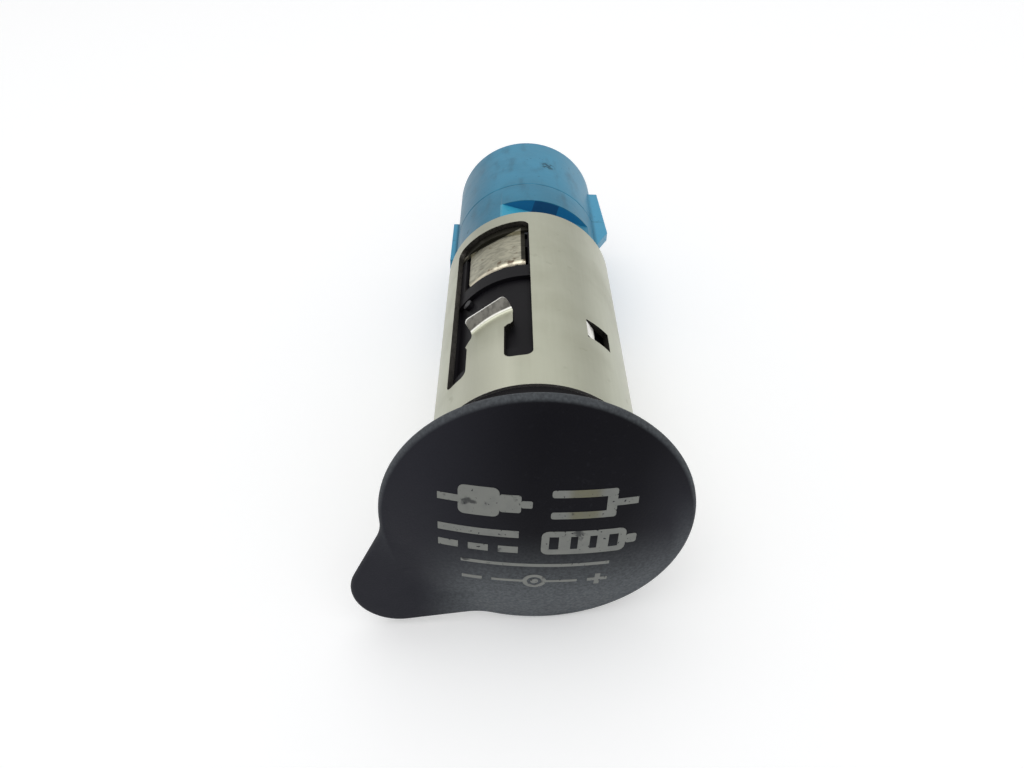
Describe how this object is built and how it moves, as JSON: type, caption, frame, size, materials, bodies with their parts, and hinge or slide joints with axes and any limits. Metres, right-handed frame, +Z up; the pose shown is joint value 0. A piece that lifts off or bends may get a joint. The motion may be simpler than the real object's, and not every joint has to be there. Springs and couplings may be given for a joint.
{
  "type": "car 12v power socket",
  "caption": "Round car power socket: black hinged lid with a finger tab, steel shell with a latch window, and a blue plastic connector housing at the rear.",
  "frame": {"origin": "on the well's axis at the front edge of the steel shell, where the panel's seat is", "axes": "+Y along the well's axis from the lid to the connector, +Z up in the picture, +X to the right seen from the front"},
  "size_m": [0.0396, 0.0822, 0.0365],
  "materials": {
    "lid_plastic": "fine-grained black moulded plastic with worn silver print",
    "pin_steel": "plain drawn steel",
    "barrel_plastic": "black moulded plastic",
    "shell_steel": "satin plated sheet steel with a warm grey tone",
    "clip_metal": "plated spring strip with brown stains",
    "rivet_metal": "plated rivet",
    "terminal_brass": "stamped brass",
    "fibre": "pressed fibre board",
    "housing_plastic": "slightly translucent blue plastic with dark smudges"
  },
  "bodies": {
    "socket": {"hinge_pin": "pin_steel", "barrel": "barrel_plastic", "shell": "shell_steel", "ground_clip_upper": "clip_metal", "ground_clip_lower": "clip_metal", "ground_ring": "clip_metal", "ground_rivet": "rivet_metal", "ground_terminal": "terminal_brass", "contact_insulator": "fibre", "centre_contact": "terminal_brass", "contact_rivet": "rivet_metal", "spring_washer": "pin_steel", "positive_terminal": "terminal_brass", "connector_housing": "housing_plastic"},
    "lid": {"lid": "lid_plastic"}
  },
  "joints": [
    {"name": "lid_hinge", "type": "hinge", "parent": "socket", "child": "lid", "pos_m": [0.01119, -0.0059, 0.00906], "axis": [-0.6293, 0, 0.7771], "range_deg": [0, 100]}
  ]
}
